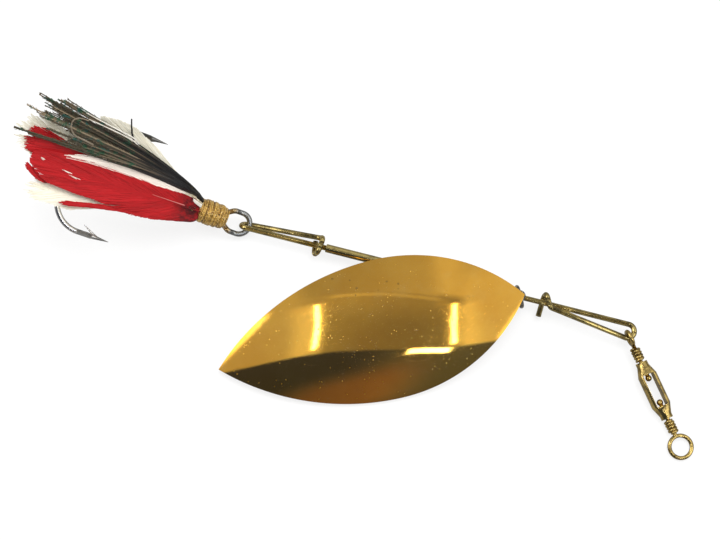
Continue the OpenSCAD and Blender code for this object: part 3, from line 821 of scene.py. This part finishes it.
def herlStrand(h, rng, tipX, tipY):
    tx, ty = tipX + rng.uniform(-0.7, 1.6), tipY + rng.gauss(0, 0.3)
    y0, z0 = h["root"][0] + rng.uniform(-0.3, 0.2), h["root"][1] + rng.uniform(-0.4, 0.4)
    bow, lift = h["bow"] + rng.uniform(-0.25, 0.25), rng.uniform(-0.3, 0.7)
    tone, wob = rng.random(), anyAngle(rng)
    path = []
    for j in range(herls["points"] + 1):
        s = j / herls["points"]
        x = herls["start"] + (tx - herls["start"]) * s
        y = y0 + (ty - y0) * s + bow * math.sin(math.pi * s ** 0.6) + 0.12 * math.sin(7 * s + wob) * s
        high = bed(x, y) + herls["height"]
        high += lift * math.sin(math.pi * min(1, s * 0.8)) + 0.15 * math.sin(5 * s + wob) * s
        rise = min(1, s / 0.16) ** 0.7  # out of the thread and up on to the bed
        path.append((Vector((x, y, z0 + (high - z0) * rise)), herls["core"] * (1 - 0.3 * s), tone, s))
    return path


def flueHair(rng, strand):
    s = rng.uniform(0.4, 0.99) ** 0.55
    j = min(herls["points"] - 1, int(s * herls["points"]))
    a, b = strand[j][0], strand[j + 1][0]
    base, ahead = a.lerp(b, s * herls["points"] - j), (b - a).normalized()
    turn = anyAngle(rng)
    out = Vector((0, math.cos(turn), math.sin(turn) * 0.6))
    size = herls["flue"] * rng.uniform(0.5, 1.15)
    tone = strand[j][2]
    return [(base, 0.12, tone, s), (base + ahead * size * 0.5 + out * size * 0.36, 0.1, tone, s),
            (base + ahead * size + out * size * 0.55, 0.03, tone, s)]


def herlPaths(h):
    rng = random.Random(h["seed"])
    lines = []
    for tipX, tipY, count in h["tips"]:
        for _ in range(count):
            strand = herlStrand(h, rng, tipX, tipY)
            lines.append(strand)
            lines += [flueHair(rng, strand) for _ in range(herls["flueCount"])]
    return [[(onTreble(p), wide, trebleUp, tone, s, 0) for p, wide, tone, s in line] for line in lines]


# one stiff strand that stands out over the white feather, as (x, y, height over the bed)
spike = {"size": 0.6, "line": [(-22.5, 5.6, 2.2), (-26.0, 7.4, 2.4), (-27.9, 8.5, 2.5), (-30.1, 9.7, 2.6),
                               (-31.4, 11.5, 2.6), (-32.2, 13.0, 2.7), (-32.9, 14.5, 2.8)]}


def overBed(line, size, thinning, tone):  # a path through points that stand over the bed
    last = len(line) - 1
    return [(onTreble((x, y, bed(x, y) + z)), size * (1 - thinning * i / last), trebleUp, tone, i / last, 0)
            for i, (x, y, z) in enumerate(line)]


spikePath = overBed(spike["line"], spike["size"], 0.45, 0.3)
spikePath = [point[:4] + (0.3, 0) for point in spikePath]  # as dark throughout as the foot of a strand
outerPaths = herlPaths(herls["outer"]) + [spikePath]
stand(strandPiece("herlFanOuter", outerPaths, "herlStrand", 1.0, 5), "herl_fan_outer")
stand(strandPiece("herlFanInner", herlPaths(herls["inner"]), "herlStrand", 1.0, 5), "herl_fan_inner")

# pale quills: two side by side and one that bends back, as (x, y, height over the bed)
quills = {"size": 0.42, "tones": (0.9, 0.75, 0.1),
          "lines": [((-10.0, 1.2, 1.3), (-20, 4.6, 1.5), (-28.2, 9.2, 2.2), (-30.6, 10.6, 3.0),
                     (-36.0, 11.4, 3.2), (-42.2, 12.3, 2.9)),
                    ((-10.0, 0.8, 1.3), (-20, 4.4, 1.5), (-28.0, 8.7, 2.2), (-30.8, 10.1, 3.1),
                     (-36.4, 10.8, 3.3), (-41.2, 11.2, 3.1)),
                    ((-38.0, 6.2, 2.9), (-41.0, 6.6, 3.4), (-42.6, 6.9, 3.7), (-43.8, 8.0, 3.9),
                     (-44.2, 9.5, 3.9), (-43.3, 10.7, 3.7), (-41.0, 10.9, 3.3))]}


def rounded(line, steps=6):  # a smooth curve through the points
    fine = []
    for i in range(len(line) - 1):
        four = [line[max(0, min(len(line) - 1, k))] for k in range(i - 1, i + 3)]
        for j in range(steps):
            t = j / steps
            fine.append(tuple(0.5 * (2 * q + (r - p) * t + (2 * p - 5 * q + 4 * r - s) * t * t
                                     + (3 * q - p - 3 * r + s) * t ** 3) for p, q, r, s in zip(*four)))
    return fine + [line[-1]]


quillPaths = []
for line, tone in zip(quills["lines"], quills["tones"]):
    quillPaths.append(overBed(rounded(line), quills["size"], 0.5, tone))
stand(strandPiece("paleQuillPair", quillPaths, "paleQuill", 0.6, 8), "pale_quills")
print("herl and quills made")

# stage: pale floor, soft light, camera at the photograph's angle
stage = {"floorSize": 6.0, "floorGap": 0.00004, "floorGlow": 0.77, "floorInMetal": 0.12, "lensPixels": 1620.0,
         "pictureWidth": 720, "eye": (-0.055732, -0.064641, 0.355624),
         "target": (-0.078029, 0.019528, 0.006313), "right": (0.96772, 0.25203, -0.00104)}
lamps = {"keyLamp": {"from": (0.12, 0.2, 0.68), "size": 0.5, "watts": 4.2},
         "fillLamp": {"from": (-0.45, 0.1, 0.5), "size": 0.5, "watts": 1.6}}


def makeFloor():
    low = cadBox[0][2] - stage["floorGap"]
    half = stage["floorSize"] / 2
    corners = [(-half, -half, low), (half, -half, low), (half, half, low), (-half, half, low)]
    mesh = bpy.data.meshes.new("floor")
    mesh.from_pydata(corners, [], [(0, 1, 2, 3)])
    material, t = newFinish("paleFloor")
    glossy = t.ray("Is Glossy Ray")
    matte = t.add("ShaderNodeBsdfDiffuse", {}, {"Color": (0.9, 0.9, 0.9, 1)})
    tone = t.mixed(glossy, (1, 1, 1, 1), (stage["floorInMetal"],) * 3 + (1,))
    glow = t.add("ShaderNodeEmission", {}, {"Color": tone, "Strength": 1.0})
    share = (t.ray("Is Camera Ray") + glossy + t.ray("Is Transmission Ray")).least(1.0) * stage["floorGlow"]
    both = t.add("ShaderNodeMixShader", {}, {0: share, 1: matte, 2: glow})
    t.add("ShaderNodeOutputMaterial", {}, {"Surface": both})
    newObject("floor", mesh, material)


# white tent as the metals see it: brightness of its walls, its tube lights and the opening towards the viewer
tent = {"left": 0.62, "right": 0.84, "leftGleam": 2.7, "rightGleam": 1.9, "opening": 0.05, "horizon": 0.1,
        "tubes": 11.0, "elsewhere": 0.62, "openingTint": (0.9, 1.05, 1.4, 1), "warmTint": (1.3, 0.9, 0.7, 1)}


def makeWorld():
    world = bpy.data.worlds.new("tent")
    bpy.context.scene.world = world
    world.use_nodes = True
    world.node_tree.nodes.clear()
    t = Tree(world.node_tree)
    rightWay = Vector(stage["right"])
    way = t.add("ShaderNodeTexCoord", output="Generated")

    def part(v):
        return t.add("ShaderNodeVectorMath", {"operation": "DOT_PRODUCT"}, {0: way, 1: tuple(v)}, "Value")

    def blend(first, second, share):
        return first * (1 - share) + second * share

    def strip(value, half, soft):
        return value.ramp(-half - soft, -half) * value.ramp(half + soft, half)

    side, ahead = part(rightWay), part(Vector((-rightWay.y, rightWay.x, 0)))
    top = t.add("ShaderNodeMath", {"operation": "SMOOTH_MIN"}, {0: 0.31 - side * 1.17, 1: 0.56, 2: 0.3})
    seam = ahead - top  # where the back wall meets the ceiling
    left = side + 0.248 + ahead * 0.141  # lines of the three tubes
    right = side - 0.171 + ahead * 0.192
    low = ahead + 0.4 + side * 0.578
    edge = side + 0.489 - ahead * 0.119  # side of the gleam at the left

    walls = side.ramp(-0.3, 0.1, 0.38, 0.25) + seam.ramp(-0.4, -0.02) * 0.12
    walls = blend(walls, 0.44 + side.ramp(-0.35, 0.05) * 0.16, seam.ramp(-0.015, 0.02))
    walls = blend(walls, tent["left"], left.ramp(0.0, -0.06))
    walls = blend(walls, tent["right"], right.ramp(0.0, 0.05) * ahead.ramp(0.75, 0.3))
    walls = walls + strip(seam + 0.03, 0.008, 0.02) * left.ramp(0.02, 0.06) * right.ramp(0.0, -0.05) * 0.22
    walls = walls + left.ramp(-0.1, -0.01) * left.ramp(0.04, 0.005) * ahead.ramp(0.5, 0.4) * 0.5
    walls = walls + right.ramp(0.11, 0.01) * right.ramp(-0.04, 0.0) * ahead.ramp(0.1, 0.0) * 0.35
    walls = walls + strip(side - 0.17 + ahead * 0.231, 0.01, 0.06) * ahead.ramp(0.02, 0.12) * 0.2
    walls = walls * (1 - strip(seam + 0.01, 0.02, 0.05) * strip(right + 0.01, 0.02, 0.04) * 0.35)
    leftGleam = edge.ramp(0.014, -0.01) * ahead.ramp(-0.2, -0.1) * ahead.ramp(0.5, 0.38)
    rightGleam = side.ramp(0.382, 0.396) * ahead.ramp(-0.52, -0.48) * ahead.ramp(0.0, -0.08)
    walls = blend(blend(walls, tent["leftGleam"], leftGleam), tent["rightGleam"], rightGleam)

    opening = (ahead + side.ramp(-0.3, 0.35, 0.245, 0.53)).ramp(0.02, -0.02)
    cloud = t.grain(way, 1.6, 1.0, 0.5)
    warm = cloud.ramp(0.36, 0.66) * side.ramp(-0.35, -0.1) * side.ramp(0.3, 0.1) * opening
    walls = blend(walls, tent["opening"] + side.ramp(-0.1, 0.25) * 0.075, opening) + warm * 0.1
    walls = blend(walls, tent["horizon"], part((0, 0, 1)).ramp(0.5, 0.15))
    tubes = strip(left, 0.004, 0.006) * ahead.ramp(0.46, 0.42) * ahead.ramp(-0.22, -0.16)
    tubes = tubes + strip(right, 0.004, 0.006) * ahead.ramp(0.09, 0.05) * ahead.ramp(-0.5, -0.46)
    tubes = tubes + strip(low, 0.018, 0.018) * side.ramp(0.115, 0.135) * side.ramp(0.272, 0.255)

    glossy, camera = t.ray("Is Glossy Ray"), t.ray("Is Camera Ray")
    plain = camera + (1 - camera) * tent["elsewhere"]
    strength = glossy * (walls + tubes.least(1.0) * tent["tubes"]) + (1 - glossy) * plain
    tint = t.mixed(opening * glossy, (1, 1, 1, 1), tent["openingTint"])
    tint = t.mixed(warm * glossy, tint, tent["warmTint"])
    color = t.add("ShaderNodeVectorMath", {"operation": "SCALE"}, {0: tint, "Scale": strength})
    shade = t.add("ShaderNodeBackground", {}, {"Color": color, "Strength": 1.0})
    t.add("ShaderNodeOutputWorld", {}, {"Surface": shade})


def addLamp(name, aim):
    offset = Vector(lamps[name]["from"])
    lamp = bpy.data.lights.new(name, "AREA")
    lamp.shape = "RECTANGLE"
    lamp.size = lamps[name]["size"]
    lamp.size_y = lamps[name]["size"]
    lamp.energy = lamps[name]["watts"]
    obj = newObject(name, lamp)
    obj.location = aim + offset
    obj.rotation_euler = (-offset).to_track_quat("-Z", "Y").to_euler()
    obj.visible_glossy = False
    obj.visible_camera = False


def addCamera():
    right = Vector(stage["right"]).normalized()
    back = (Vector(stage["eye"]) - Vector(stage["target"])).normalized()
    lens = bpy.data.cameras.new("camera")
    lens.sensor_width = 36
    lens.lens = stage["lensPixels"] * lens.sensor_width / stage["pictureWidth"]
    lens.clip_start = 0.01
    obj = newObject("camera", lens)
    turn = Matrix((right, back.cross(right), back)).transposed().to_4x4()
    obj.matrix_world = Matrix.Translation(Vector(stage["eye"])) @ turn
    bpy.context.scene.camera = obj


makeFloor()
makeWorld()
for name in lamps:
    addLamp(name, (Vector(cadBox[0]) + Vector(cadBox[1])) / 2)
addCamera()
bpy.context.scene.view_settings.view_transform = "Standard"
print("stage ready")
